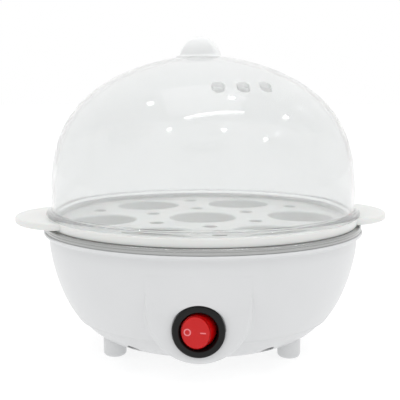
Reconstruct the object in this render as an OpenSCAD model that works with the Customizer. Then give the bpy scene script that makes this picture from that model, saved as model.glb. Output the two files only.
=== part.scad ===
// Egg cooker: a round white housing with a boiling dish, a tray of seven egg seats and a clear lid.
// The origin is on the table under the dish's centre; the switch faces -Y and +Z is up.

/* [Housing] */
// Height of the housing's rim above the table
rim_z = 59.5; // [58.5:0.5:61]
// Outer radius of the flared rim
rim_rad = 79; // [78.5:0.1:79.5]
// Outer radius of the bowl just under the rim
bowl_rad = 76.3; // [76:0.1:76.6]
// Thickness of the plastic walls
wall = 2.2; // [1.8:0.1:2.4]
// Radius of the flat part of the bottom cover
cover_flat_rad = 40; // [39:0.5:40.5]
// Radius of each foot
foot_rad = 5.5; // [5:0.1:6]

/* [Switch] */
// Radius of the switch boss
pod_rad = 23; // [22:0.5:24]
// Distance of the boss's flat face from the axis
pod_face = 70.5; // [70:0.5:71]
// Diameter of the switch bezel
bezel_d = 23; // [22:0.5:24]
// Angle that the rocker leans to each side
rocker_lean = 11; // [9:0.5:11]

/* [Dish] */
// Height of the dish's floor above the table
dish_floor_z = 40; // [39:0.5:41]
// Thickness of the steel
steel = 0.8; // [0.6:0.1:0.8]
// Radius of the heating tube's ring
tube_ring = 31; // [30:0.5:32]

/* [Tray] */
// Radius of the circle that the outer egg seats stand on
seat_pitch = 50; // [49:0.5:50.5]
// Diameter of an egg seat at the tray's top
seat_d = 32; // [30:0.5:33]
// Reach of the two ears from the axis
ear_reach = 92.8; // [90:0.1:95]
// Turn of the tray on the housing
tray_turn = 8.5; // [-30:0.5:30]

/* [Lid] */
// Radius of the dome where it meets the tray
lid_rad = 75.3; // [75:0.1:75.4]
// Height of the top of the dome above the table
lid_top_z = 144.6; // [140:0.1:150]
// Height of the top of the handle above the table
handle_top_z = 153.9; // [152:0.1:156]
// Diameter of a steam hole
vent_d = 6; // [4:0.5:7]

/* [Hidden] */
$fn = 72;

// Heights that follow from the rim
seam_z = rim_z - 42.6;
shoulder_z = rim_z - 6;
bowl_drop = 49.6;
pod_z = rim_z - 26.3;
switch_z = rim_z - 34.1;
cord_z = rim_z - 32.5;
seam_gap = 0.2;

// Bottom cover
cover_z = 5.2;
cover_arc = 26.1;
foot_ring = 48.6;
foot_angles = [-30, 90, 210];
boss_ring = 53;
boss_angles = [45, 135, 235, 305];
boss_top_z = 27;
lip_h = 2.6;

// Boiling dish, plate and tube
dish_under_z = dish_floor_z - steel;
flange_z = rim_z + 3;
plate_z = dish_under_z - 3.2;
plate_rad = 44;
tube_rad = 3.5;
tube_z = plate_z - 2.3;
tube_end = 52;
tube_bend = 4.2;
tube_drop = 4.7;
leg_x = tube_ring * cos(tube_end) - tube_bend * sin(tube_end);
leg_y = tube_ring * sin(tube_end) + tube_bend * cos(tube_end);
stud_ring = 40;
clip_angles = [0, 120, 240];
clip_ring = 63;
clip_z = 28.8;
clip_boss_top = 40;

// Fuse beside the thermostat
fuse_y = 18.5;
fuse_rad = 2.4;
fuse_z = plate_z - fuse_rad - 0.05;

// Cord inlet and clamp
inlet_face = 71.5;
cord_bore = 3.5;
clamp_y = 56;

// Switch
switch_rad = 9.8;
switch_back = 52;
pivot_y = -pod_face + 4.2;
bezel_front = -pod_face - 2.2;
well_rad = 8.2;
pivot_pin = 1.2;
face_half_w = 6.3;
face_half_h = 7;
skirt_rad = 7.9;
blade_x = [-5.5, 0, 5.5];
blade_end = -44;
connector_end = -39.5;

// Terminal block
block_at = [-24, -3, 7.4];
block_size = [24, 14, 11];
pole_x = [-30, -18];
pole_z = 12;

// Tray and lid
tray_top_z = rim_z + 7.4;
deck_z = tray_top_z - 2;
deck_h = 2;
steam_rings = [28, 59.5];
ear_centre = 66;
ear_half = 32;
ear_bottom_z = rim_z + 4;
lid_z = rim_z + 6.1;
lid_flange_z = tray_top_z;
lid_wall = 2;
handle_turn = -15;
handle_shift = -1.3;
handle_half_w = 10.1;
handle_half_t = 4.6;
vent_ring = 50;
vent_squash = 0.75;
vent_first = 9;
vent_step = 13;

white = "#eceeee";
steel_grey = "#a9adb0";

// ---- outlines -------------------------------------------------------------------------------

// Points of an arc in the plane of the profile
function arc(x, z, r, from, to, n = 12) =
  [for (i = [0 : n]) let (a = from + (to - from) * i / n) [x + r * cos(a), z + r * sin(a)]];

// Radius of the bowl at a height: straight near the rim, then ever faster inwards
function bowl_r(z) =
  z >= shoulder_z ? bowl_rad : bowl_rad * pow(1 - pow((shoulder_z - z) / bowl_drop, 1.37), 1 / 5.64);

// Outline of the dome, from its foot to the top, moved in by the given amount
function dome(inset, n = 24) = [
  for (i = [1 : n]) let (a = 90 * i / n)
    [(lid_rad - inset) * pow(cos(a), 2 / 1.76),
     lid_z + (lid_top_z - lid_z - inset) * pow(sin(a), 2 / 3.26)]
];

// Half of an ear's outline
function ear_points(n = 32) = [
  for (i = [0 : n]) let (a = -90 + 180 * i / n)
    [ear_centre + (ear_reach - ear_centre) * cos(a), ear_half * sin(a)]
];

module at_ring(angles, r) {
  for (a = angles) rotate([0, 0, a]) translate([r, 0, 0]) children();
}

module tube(r_out, r_in, h) {
  difference() {
    cylinder(r = r_out, h = h);
    translate([0, 0, -1]) cylinder(r = r_in, h = h + 2);
  }
}

// A cylinder from one Y to another, at the given X and Z
module y_rod(x, z, r, y0, y1) {
  translate([x, y1, z]) rotate([90, 0, 0]) cylinder(r = r, h = y1 - y0);
}

module pan_screw(head_r, head_h, shank_r, shank_h) {
  cylinder(r = head_r, h = head_h);
  cylinder(r = shank_r, h = head_h + shank_h);
}

module hex_nut(across, h, bore_r) {
  difference() {
    cylinder(d = across / cos(30), h = h, $fn = 6);
    translate([0, 0, -1]) cylinder(r = bore_r, h = h + 2, $fn = 48);
  }
}

// ---- wires ----------------------------------------------------------------------------------

function unit(v) = v / norm(v);

function blend_point(a, b, c, d, t) =
  0.5 * (2 * b + (c - a) * t + (2 * a - 5 * b + 4 * c - d) * t * t
         + (3 * b - a - 3 * c + d) * t * t * t);

// Smooth route through the given points
function smooth_route(p, k = 4) = let (last = len(p) - 1) concat(
  [for (i = [0 : last - 1]) for (j = [0 : k - 1])
    blend_point(p[max(i - 1, 0)], p[i], p[i + 1], p[min(i + 2, last)], j / k)],
  [p[last]]);

function headings(p) = let (last = len(p) - 1)
  [for (i = [0 : last]) unit(p[min(i + 1, last)] - p[max(i - 1, 0)])];

// Side vector of each ring, carried along the route so that the sweep doesn't twist
function sides(t, i, v) = i >= len(t) ? [] :
  let (s = unit(v - (v * t[i]) * t[i])) concat([s], sides(t, i + 1, s));

module sweep(p, r, start_side, n = 8) {
  t = headings(p);
  s = sides(t, 0, start_side);
  rings = [
    for (i = [0 : len(p) - 1]) for (j = [0 : n - 1])
      let (a = 360 * j / n) p[i] + r * (cos(a) * s[i] + sin(a) * cross(t[i], s[i]))
  ];
  last = len(p) - 1;
  skin = [for (i = [0 : last - 1]) for (j = [0 : n - 1])
    [i * n + j, i * n + (j + 1) % n, (i + 1) * n + (j + 1) % n, (i + 1) * n + j]];
  caps = [[for (j = [n - 1 : -1 : 0]) j], [for (j = [0 : n - 1]) last * n + j]];
  polyhedron(
    points = rings,
    faces = [for (f = concat(skin, caps)) [for (q = [len(f) - 1 : -1 : 0]) f[q]]]);
}

module wire(route) {
  sweep(smooth_route(route), 1.1, [0.3, 0.2, 1]);
}

// ---- housing --------------------------------------------------------------------------------

module bowl_solid(inset, z0, z1, n = 24) {
  rotate_extrude() polygon(concat(
    [[0, z0]],
    [for (i = [0 : n]) let (z = z0 + (z1 - z0) * i / n) [bowl_r(z) - inset, z]],
    [[0, z1]]));
}

// The flared lip, with a small fillet under it and a round edge
module rim_lip() {
  lip = 0.8;
  fillet = 1.5;
  rotate_extrude() polygon(concat(
    [[bowl_rad - wall / 2, rim_z - 4]],
    arc(bowl_rad + fillet, rim_z - 2 * lip - fillet, fillet, 180, 90, 8),
    arc(rim_rad - lip, rim_z - lip, lip, -90, 90, 12),
    [[bowl_rad - wall / 2, rim_z]]));
}

// U-shaped boss: a half circle below and straight sides that fade into the bowl
module pod_prism(r, y0, y1, top_z) {
  translate([0, y1, 0]) rotate([90, 0, 0]) linear_extrude(y1 - y0) union() {
    translate([0, pod_z]) circle(r = r);
    translate([-r, pod_z]) square([2 * r, top_z - pod_z]);
  }
}

module housing_shell() {
  difference() {
    union() {
      bowl_solid(0, seam_z, rim_z);
      rim_lip();
      pod_prism(pod_rad, -pod_face, -51, rim_z - 9.5);
      intersection() {
        y_rod(0, cord_z, 9, 60, inlet_face);
        bowl_solid(-3, seam_z, rim_z);
      }
    }
    difference() {
      bowl_solid(wall, seam_z - 3, rim_z + 0.5);
      translate([-pod_rad, -90, 0]) cube([2 * pod_rad, 90 - pod_face + 2, clip_boss_top - 2]);
    }
    pod_prism(pod_rad - 2, -pod_face + 2, -45, clip_boss_top - 4);
  }
}

module housing_bosses() {
  difference() {
    intersection() {
      bowl_solid(1, seam_z, rim_z - 5);
      union() {
        at_ring(boss_angles, boss_ring) translate([0, 0, seam_z]) {
          cylinder(r = 4, h = boss_top_z - seam_z);
          translate([0, -1, 0]) cube([25, 2, boss_top_z - seam_z - 2]);
        }
        at_ring(clip_angles, clip_ring) translate([0, 0, clip_z + 1.2]) {
          cylinder(r = 4, h = clip_boss_top - clip_z - 1.8);
          translate([0, -3, 0]) cube([9, 6, clip_boss_top - clip_z - 1.8]);
        }
        translate([-13, clamp_y - 6, seam_z]) cube([26, 25, cord_z - seam_z - 3.4]);
      }
    }
    y_rod(0, cord_z, 7.4, clamp_y + 4.5, 68);
  }
}

module base_housing() {
  color(white) difference() {
    union() {
      housing_shell();
      housing_bosses();
    }
    y_rod(0, switch_z, bezel_d / 2 + 0.7, -90, -pod_face);
    y_rod(0, switch_z, switch_rad + 0.3, -80, -60);
    y_rod(0, cord_z, 8.6, inlet_face, 90);
    y_rod(0, cord_z, 6, 50, 80);
    at_ring(boss_angles, boss_ring) translate([0, 0, seam_z - 1]) cylinder(r = 1.3, h = 9);
    at_ring(clip_angles, clip_ring) translate([0, 0, clip_z]) cylinder(r = 1.45, h = 9);
    for (x = [-9, 9]) translate([x, clamp_y, cord_z - 3.4 - 8]) cylinder(r = 1.25, h = 10);
  }
}

// ---- bottom cover ---------------------------------------------------------------------------

cover_arc_z = cover_z + cover_arc;

module cover_solid(inset, top_z) {
  end = asin((top_z - cover_arc_z) / cover_arc);
  rotate_extrude() polygon(concat(
    [[0, cover_z + inset]],
    arc(cover_flat_rad, cover_arc_z, cover_arc - inset, -90, end, 20),
    [[0, cover_arc_z + (cover_arc - inset) * sin(end)]]));
}

module foot() {
  edge = 2;
  foot_top = 14;
  rotate_extrude() polygon(concat(
    [[0, 0]],
    arc(foot_rad - edge, edge, edge, -90, 0, 8),
    [[foot_rad, foot_top], [0, foot_top]]));
}

module cover_lip() {
  lip_out = bowl_r(seam_z) - wall - 0.4;
  difference() {
    translate([0, 0, seam_z - 3]) tube(lip_out, lip_out - 2, lip_h + 3);
    at_ring(boss_angles, boss_ring) translate([0, -1.5, seam_z]) cube([20, 3, 9]);
    at_ring(boss_angles, boss_ring) translate([0, 0, seam_z]) cylinder(r = 4.4, h = 9);
    translate([-13.5, 40, seam_z]) cube([27, 40, 9]);
  }
}

module bottom_cover() {
  post_top = seam_z;
  recess_top = seam_z - 3;
  color(white) difference() {
    union() {
      difference() {
        union() {
          cover_solid(0, seam_z - seam_gap);
          at_ring(foot_angles, foot_ring) foot();
        }
        cover_solid(wall, seam_z + 1);
      }
      intersection() {
        cover_lip();
        union() {
          cover_solid(0.3, seam_z + 1);
          translate([0, 0, seam_z - 0.5]) cylinder(r = 61, h = 10);
        }
      }
      intersection() {
        at_ring(boss_angles, boss_ring) cylinder(r = 5, h = post_top);
        union() {
          cover_solid(0.3, seam_z - 0.5);
          translate([0, 0, seam_z - 0.6]) cylinder(r = 58, h = 1);
        }
      }
    }
    at_ring(boss_angles, boss_ring) {
      cylinder(r = 3.5, h = recess_top);
      cylinder(r = 1.7, h = post_top + 1);
    }
    y_rod(0, pod_z, pod_rad + 0.3, -90, -45);
  }
}

module cover_screws() {
  color(steel_grey) at_ring(boss_angles, boss_ring) translate([0, 0, seam_z - 5.2])
    difference() {
      pan_screw(2.9, 2.2, 1.25, 10);
      for (a = [0, 90]) rotate([0, 0, a]) translate([-1.6, -0.35, -0.1]) cube([3.2, 0.7, 1.1]);
    }
}

// ---- boiling dish ---------------------------------------------------------------------------

dish_flat = 54;
dish_arc = 12;
dish_wall_r = 70.3;
band_rad = 78.3;

// Inside outline of the dish from the centre to the flange, moved out by the sheet's thickness
function dish_profile(t) = concat(
  [[0, dish_floor_z - t]],
  arc(dish_flat, dish_floor_z + dish_arc, dish_arc + t, -90, -25, 14),
  [[dish_wall_r + t, rim_z - 1]],
  arc(72.8, flange_z - 2.5, 2.5 - t, 155, 90, 6));

module heating_dish() {
  outside = dish_profile(steel);
  inside = dish_profile(0);
  bead = 0.9;
  color(steel_grey) union() {
    rotate_extrude() polygon(concat(
      outside,
      [[band_rad - bead, flange_z - steel], [band_rad - bead, flange_z]],
      [for (i = [len(inside) - 1 : -1 : 0]) inside[i]]));
    rotate_extrude() union() {
      translate([band_rad - bead, flange_z - bead]) circle(r = bead);
      translate([band_rad - bead, rim_z + bead]) circle(r = bead - 0.1);
      translate([band_rad - 2 * bead + 0.15, rim_z]) square([bead, flange_z - rim_z - 0.5]);
      translate([band_rad - bead, rim_z + bead]) square([bead - 0.12, flange_z - rim_z - 2 * bead]);
    }
  }
}

module dish_gasket() {
  color("#c9c9c4") translate([0, 0, rim_z]) tube(76.2, 74.4, flange_z - steel - rim_z);
}

module dish_studs() {
  color(steel_grey) at_ring(clip_angles, stud_ring) translate([0, 0, plate_z - 5.5])
    cylinder(r = 2, h = dish_under_z - plate_z + 5.5);
}

module heater_plate() {
  color("#b9bcbe") difference() {
    translate([0, 0, plate_z]) cylinder(r = plate_rad, h = dish_under_z - plate_z);
    translate([0, 0, tube_z]) rotate_extrude() translate([tube_ring, 0]) circle(r = tube_rad + 0.05);
    at_ring(clip_angles, stud_ring) translate([0, 0, plate_z - 1]) cylinder(r = 2.15, h = 6);
    for (y = [-13, 13]) translate([0, y, plate_z - 1]) cylinder(r = 1.45, h = 3.2);
    translate([0, fuse_y + 5.5, plate_z - 1]) cylinder(r = 1.25, h = 3.2);
  }
}

// The tube's end: a bend down from the ring and a short leg
tube_elbow = concat(
  [for (t = [15 : 15 : 90]) [
    tube_ring * cos(tube_end) - sin(tube_end) * tube_bend * sin(t),
    tube_ring * sin(tube_end) + cos(tube_end) * tube_bend * sin(t),
    -tube_bend * (1 - cos(t))]],
  [[leg_x, leg_y, -tube_drop]]);

// Ring of sheathed heating tube that is open at the back, with both ends turned down
module heating_tube() {
  ring = [for (i = [0 : 56]) let (a = 180 - tube_end + (180 + 2 * tube_end) * i / 56)
    [tube_ring * cos(a), tube_ring * sin(a), 0]];
  other_elbow = [for (i = [len(tube_elbow) - 1 : -1 : 0])
    [-tube_elbow[i].x, tube_elbow[i].y, tube_elbow[i].z]];
  color("#8f9396") translate([0, 0, tube_z])
    sweep(concat(other_elbow, ring, tube_elbow), tube_rad, [0, 1, 0], 20);
}

module at_tube_ends() {
  for (s = [-1, 1]) translate([s * leg_x, leg_y, tube_z - tube_drop]) children();
}

module tube_terminals() {
  at_tube_ends() {
    color("#f2efe6") translate([0, 0, -3]) cylinder(r = 3, h = 3);
    color(steel_grey) translate([-3.15, -0.4, -11]) cube([6.3, 0.8, 8]);
  }
}

module stud_nuts() {
  color(steel_grey) at_ring(clip_angles, stud_ring) translate([0, 0, plate_z - 1.2 - 3.2])
    hex_nut(7, 3.2, 2.05);
}

// Z-shaped straps from the plate's studs to the housing's bosses
module dish_clips() {
  w = 9;
  color("#9ea2a5") at_ring(clip_angles, 0) difference() {
    union() {
      translate([36, -w / 2, plate_z - 1.2]) cube([11.4, w, 1.2]);
      translate([46.2, -w / 2, clip_z]) cube([1.2, w, plate_z - clip_z]);
      translate([46.2, -w / 2, clip_z]) cube([20.4, w, 1.2]);
    }
    translate([stud_ring, 0, plate_z - 2]) cylinder(r = 2.15, h = 4);
    translate([clip_ring, 0, clip_z - 1]) cylinder(r = 1.6, h = 4);
  }
}

module clip_screws() {
  color(steel_grey) at_ring(clip_angles, clip_ring) translate([0, 0, clip_z - 2])
    pan_screw(2.8, 2, 1.4, 8);
}

// ---- thermostat and fuse --------------------------------------------------------------------

module thermostat() {
  union() {
    color("#c4c7c9") translate([0, 0, plate_z - 1.2]) cylinder(r = 8.6, h = 1.2);
    color("#c4c7c9") translate([0, 0, plate_z - 3.6]) cylinder(r = 7.8, h = 2.4);
    color("#2f2b28") translate([0, 0, plate_z - 9]) cylinder(r = 7.4, h = 5.4);
    color(steel_grey) for (s = [-1, 1]) translate([s > 0 ? 3 : -17, -3.15, plate_z - 9.8])
      cube([14, 6.3, 0.8]);
  }
}

module thermostat_bracket() {
  color("#9ea2a5") translate([0, 0, plate_z - 2]) difference() {
    union() {
      cylinder(r = 10.4, h = 0.8);
      translate([-4, -16, 0]) cube([8, 32, 0.8]);
      for (y = [-16, 16]) translate([-4, y - (y > 0 ? 4.5 : 0), 0.8]) cube([8, 4.5, 1.2]);
    }
    translate([0, 0, -1]) cylinder(r = 7.9, h = 4);
    for (y = [-13, 13]) translate([0, y, -1]) cylinder(r = 1.6, h = 5);
  }
}

module thermal_fuse() {
  color("#c8a860") translate([0, fuse_y, fuse_z]) rotate([0, 90, 0]) {
    translate([0, 0, -5]) cylinder(r = 1.8, h = 10);
    translate([0, 0, -12]) cylinder(r = 0.5, h = 24);
    for (x = [-12, 8.5]) translate([0, 0, x]) cylinder(r = 1.3, h = 3.5);
  }
}

module fuse_sleeve() {
  color("#efe9d8") translate([-11.5, fuse_y, fuse_z]) rotate([0, 90, 0]) tube(fuse_rad, fuse_rad - 0.4, 23);
}

module fuse_clip() {
  color("#9ea2a5") difference() {
    union() {
      translate([-2, fuse_y, fuse_z]) rotate([0, 90, 0]) cylinder(r = 3.05, h = 4);
      translate([-3, fuse_y + 2.4, plate_z - 0.6]) cube([6, 6, 0.6]);
    }
    translate([-3, fuse_y, fuse_z]) rotate([0, 90, 0]) cylinder(r = fuse_rad + 0.05, h = 6);
    translate([-4, fuse_y - 5, plate_z]) cube([8, 16, 3]);
    translate([-4, fuse_y - 5, fuse_z]) cube([8, 5, 5]);
    translate([0, fuse_y + 5.5, plate_z - 2]) cylinder(r = 1.4, h = 4);
  }
}

module plate_screws() {
  color(steel_grey) {
    for (y = [-13, 13]) translate([0, y, plate_z - 4]) pan_screw(2.5, 2, 1.4, 4);
    translate([0, fuse_y + 5.5, plate_z - 2.2]) pan_screw(2.2, 1.6, 1.2, 2.6);
  }
}

// ---- terminal block and cord inlet ----------------------------------------------------------

module terminal_block() {
  color("#e6e2d2") difference() {
    translate(block_at - [block_size.x / 2, block_size.y / 2, 0]) cube(block_size);
    for (x = pole_x) {
      y_rod(x, pole_z, 1.25, block_at.y - 10, block_at.y + 10);
      translate([x, block_at.y, pole_z]) cylinder(r = 2, h = 10);
    }
  }
}

module terminal_screws() {
  color("#c8a860") for (x = pole_x) translate([x, block_at.y, pole_z + 1.4]) difference() {
    cylinder(r = 1.9, h = 3.6);
    translate([-2, -0.3, 2.8]) cube([4, 0.6, 1]);
  }
}

module cord_grommet() {
  color("#d9dada") difference() {
    union() {
      y_rod(0, cord_z, 5.9, 61, inlet_face + 0.5);
      y_rod(0, cord_z, 8.2, inlet_face, inlet_face + 2.5);
      y_rod(0, cord_z, 7, 61, 63);
    }
    y_rod(0, cord_z, cord_bore, 60, inlet_face + 5);
  }
}

module cord_clamp() {
  color("#d9dada") difference() {
    translate([-12.5, clamp_y - 4, cord_z - 3.3]) cube([25, 8, 7.5]);
    y_rod(0, cord_z, cord_bore, clamp_y - 10, clamp_y + 10);
    translate([-cord_bore, clamp_y - 5, cord_z - 5]) cube([2 * cord_bore, 10, 5]);
    for (x = [-9, 9]) translate([x, clamp_y, cord_z - 5]) cylinder(r = 1.6, h = 12);
  }
}

module clamp_screws() {
  color(steel_grey) for (x = [-9, 9]) translate([x, clamp_y, cord_z + 4.2 + 2]) rotate([180, 0, 0])
    pan_screw(2.8, 2, 1.2, 14);
}

// ---- switch ---------------------------------------------------------------------------------

module at_pivot() {
  translate([0, pivot_y, switch_z]) children();
}

// A ring round the switch's axis, from its front outline points [radius, depth behind the pivot]
module switch_turned(points) {
  at_pivot() rotate([-90, 0, 0]) rotate_extrude() polygon(points);
}

module switch_body() {
  front = bezel_front - pivot_y;
  face = -pod_face - pivot_y;
  back = -switch_back - pivot_y;
  color("#2b2e30") difference() {
    union() {
      switch_turned(concat(
        [[0, front]],
        arc(bezel_d / 2 - 1, front + 1, 1, -90, 0, 6),
        [[bezel_d / 2, face], [switch_rad, face], [switch_rad, back], [0, back]]));
      for (s = [-1, 1]) translate([s > 0 ? switch_rad - 0.5 : -switch_rad - 0.4, -64, switch_z - 3])
        cube([0.9, 6, 6]);
    }
    switch_turned([[0, front - 1], [well_rad + 0.4, front - 1], [well_rad, front + 0.6], [well_rad, back - 2],
      [0, back - 2]]);
    translate([0, pivot_y, switch_z - 9.4]) cylinder(r = pivot_pin + 0.05, h = 18.8);
    for (x = blade_x) translate([x - 0.45, -switch_back - 3, switch_z - 2.45]) cube([0.9, 8, 4.9]);
  }
}

bridge_lean = rocker_lean / 2;
bridge_y = -56.85;
knife_rad = 0.4;

// Three blades: the middle one carries the bridge on its round edge, and the left one has the contact
module switch_terminals() {
  for (x = blade_x) {
    top = x == 0 ? bridge_y : -55.4;
    color("#c8a860") translate([x - knife_rad, top, switch_z - 2.4])
      cube([2 * knife_rad, blade_end - top, 4.8]);
  }
  color("#c8a860") translate([0, bridge_y, switch_z - 2.4]) cylinder(r = knife_rad, h = 4.8);
  color("#c8a860") translate([blade_x[0], -55.4, switch_z - 1.2]) cube([2.4, 0.8, 2.4]);
  color("#d8d8d8") y_rod(blade_x[0] + 1.2, switch_z, 1.1, -56.35, -55.4);
}

// The rocker is drawn square to its pivot, then leant to the off side
module leant(a = -rocker_lean) {
  at_pivot() rotate([0, 0, a]) children();
}

// The cap's face is an oval that widens to the round skirt
module rocker() {
  face = 7;
  color("#c32026") leant() difference() {
    union() {
      rotate([-90, 0, 0]) hull() {
        translate([0, 0, -face]) scale([face_half_w / face_half_h, 1, 1])
          cylinder(r = face_half_h, h = 0.5);
        translate([0, 0, -1.6]) cylinder(r = skirt_rad, h = 3.1);
      }
      rotate([-90, 0, 0]) translate([0, 0, -face + 1]) cylinder(r = 2.5, h = face + 3.5);
      for (s = [-1, 1]) translate([0, 0, s > 0 ? 6.9 : -9.1]) cylinder(r = pivot_pin, h = 2.2);
    }
    rotate([-90, 0, 0]) difference() {
      translate([0, 0, -face + 1.6]) cylinder(r1 = 5, r2 = 6.4, h = face);
      translate([0, 0, -face + 1]) cylinder(r = 2.5, h = face + 3.5);
    }
    rotate([-90, 0, 0]) translate([0, 0, -3.5]) cylinder(r = 1.55, h = 12);
    translate([-3.55, -face + 0.15, 0]) rotate([90, 0, 0]) tube(1.6, 1.1, 1);
    translate([2.1, -face - 1, -0.25]) cube([2.5, 1.15, 0.5]);
  }
}

module plunger() {
  color("#b8bcc0") leant() rotate([-90, 0, 0]) {
    translate([0, 0, 2.6]) cylinder(r = 1.5, h = 4.1);
    translate([0, 0, 6.7]) sphere(r = 1.5);
    translate([0, 0, -1.5]) cylinder(r = 0.5, h = 5);
  }
}

function coil(r, z0, z1, turns, per_turn = 12) = [
  for (i = [0 : turns * per_turn]) let (a = 360 * i / per_turn)
    [r * cos(a), r * sin(a), z0 + (z1 - z0) * i / (turns * per_turn)]
];

module plunger_spring() {
  color(steel_grey) leant() rotate([-90, 0, 0])
    sweep(coil(1.1, -3.2, 2.3, 5), 0.2, [1, 0, 0], 6);
}

module contact_bridge() {
  color("#c8a860") translate([0, bridge_y, switch_z]) rotate([0, 0, bridge_lean]) difference() {
    translate([-5.6, -0.95, -1.8]) cube([11.2, 0.7, 3.6]);
    translate([0, 0, -3]) cylinder(r = knife_rad + 0.05, h = 6);
  }
}

module indicator_lamp() {
  color("#e8b070", 0.8) translate([5.4, pivot_y + 5.6, switch_z - 4]) {
    cylinder(r = 1.4, h = 7);
    translate([0, 0, 7]) sphere(r = 1.4);
  }
}

// ---- wiring ---------------------------------------------------------------------------------

// A sleeved push-on connector that points along +Z, open on a blade below it
module spade(w, h, length, blade_w, blade_t) {
  difference() {
    translate([-w / 2, -h / 2, 0]) cube([w, h, length]);
    translate([-blade_w / 2 - 0.05, -blade_t / 2 - 0.05, -1])
      cube([blade_w + 0.1, blade_t + 0.1, length - 2]);
    cylinder(r = 1.2, h = length + 1);
  }
}

module spade_connectors() {
  color("#e9e4da") {
    for (x = blade_x) translate([x, -switch_back + 0.3, switch_z]) rotate([-90, 0, 0])
      spade(3.2, 6.6, 12.2, 0.8, 4.8);
    for (s = [-1, 1]) translate([s * 9.6, 0, plate_z - 9.4]) rotate([0, s * 90, 0])
      spade(3.2, 8, 12.4, 0.8, 6.3);
    at_tube_ends() translate([0, 0, -3.2]) rotate([180, 0, 0])
      spade(8, 3.2, 12, 6.3, 0.8);
  }
}

wire_in = 10;
leg_z = tube_z - tube_drop - 3.2 - wire_in - 0.5;
tab_x = 9.6 + wire_in + 1;
tab_z = plate_z - 9.4;
connector_y = connector_end - 1;

module live_wire() {
  color("#8a4a2a") wire([[0, connector_y, switch_z], [0, -35, switch_z - 0.5], [-4, -30, 18], [-14, -26, 13],
    [-26, -20, 11.6], [-30, -15, pole_z], [-30, -9, pole_z]]);
}

module switched_wire() {
  color("#b03030") wire([[-5.5, connector_y, switch_z], [-5.5, -35, switch_z + 0.4], [-10, -28, 24.5],
    [-21, -19, 24.3], [-28, -9, 24.5], [-27.5, -1.5, tab_z], [-24.5, 0, tab_z], [-tab_x, 0, tab_z]]);
}

module lamp_wire() {
  color("#3a6ea8") wire([[5.5, connector_y, switch_z], [5.5, -35, switch_z - 0.5], [3, -27, 18.5],
    [-7, -20, 12.6], [-16, -16, 11.6], [-18, -13.5, pole_z], [-18, -9, pole_z]]);
}

module fuse_wires() {
  color("#b03030") {
    wire([[tab_x, 0, tab_z], [24.5, 1, tab_z], [26, 6, 26.2], [23, 13, 28], [18.5, 17.4, fuse_z - 2],
      [15, fuse_y, fuse_z], [12.05, fuse_y, fuse_z]]);
    wire([[-12.05, fuse_y, fuse_z], [-15, fuse_y, fuse_z], [-18, 18, 29],
      [-20.5, 18, 22], [-20.5, 19.5, 13.5],
      [-18, 24, 10.4], [-leg_x, leg_y, 10.6], [-leg_x, leg_y, leg_z]]);
  }
}

module neutral_wire() {
  color("#3a6ea8") wire([[leg_x, leg_y, leg_z], [leg_x, leg_y, 10.6], [12.5, 23.5, 10.2], [4, 17, 10.4],
    [-8, 12, 11.2], [-16.5, 9, pole_z], [-18, 6.5, pole_z], [-18, 3, pole_z]]);
}

// ---- tray and lid ---------------------------------------------------------------------------

module at_seats() {
  children();
  at_ring([0 : 60 : 300], seat_pitch) children();
}

module egg_tray() {
  seat_r = seat_d / 2;
  cup_low = deck_z - 6.5;
  skirt_r = 76.5;
  edge = 0.5;
  color(white) rotate([0, 0, tray_turn]) difference() {
    union() {
      rotate_extrude() polygon(concat(
        [[0, deck_z - deck_h], [75.2, deck_z - deck_h], [75.2, flange_z], [skirt_r - 0.4, flange_z],
         [skirt_r, flange_z + 0.4]],
        arc(skirt_r, tray_top_z - edge, edge, 0, 90, 4),
        [[75.3, tray_top_z], [75.3, deck_z], [0, deck_z]]));
      translate([0, 0, rim_z + 0.3]) tube(69.8, 68.2, deck_z - deck_h - rim_z - 0.3);
      at_seats() translate([0, 0, cup_low])
        cylinder(r1 = seat_r - 0.6, r2 = seat_r + 1.4, h = deck_z - cup_low);
      for (s = [0, 180]) rotate([0, 0, s]) difference() {
        translate([0, 0, ear_bottom_z]) linear_extrude(tray_top_z - ear_bottom_z) polygon(ear_points());
        cylinder(r = 75.8, h = 100);
      }
    }
    at_seats() translate([0, 0, cup_low - 0.1])
      cylinder(r1 = seat_r - 2, r2 = seat_r, h = deck_z - cup_low + 0.2);
    for (r = steam_rings) at_ring([30 : 60 : 330], r) translate([0, 0, deck_z - 5]) cylinder(d = 7, h = 10);
  }
}

// Outline of a tongue that stands on the dome and narrows to a round top
function tongue(half_w, foot_z, top_z, p, n = 20) = let (
    side = [for (i = [0 : n]) let (t = sin(90 * i / n))
      [half_w * sqrt(1 - pow(t, p)), foot_z + (top_z - foot_z) * t]]
  ) concat(side, [for (i = [n - 1 : -1 : 0]) [-side[i].x, side[i].y]]);

// Hollow handle: a wide tongue outline cut by a thin one
module handle_solid(inset) {
  foot_z = lid_top_z - 2.5;
  translate([handle_shift, 0, 0]) rotate([0, 0, handle_turn]) intersection() {
    rotate([90, 0, 0]) translate([0, 0, -10]) linear_extrude(20)
      polygon(tongue(handle_half_w - inset, foot_z, handle_top_z - inset, 1.5));
    rotate([90, 0, 90]) translate([0, 0, -15]) linear_extrude(30)
      polygon(tongue(handle_half_t - inset, foot_z, handle_top_z - inset, 3));
  }
}

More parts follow.
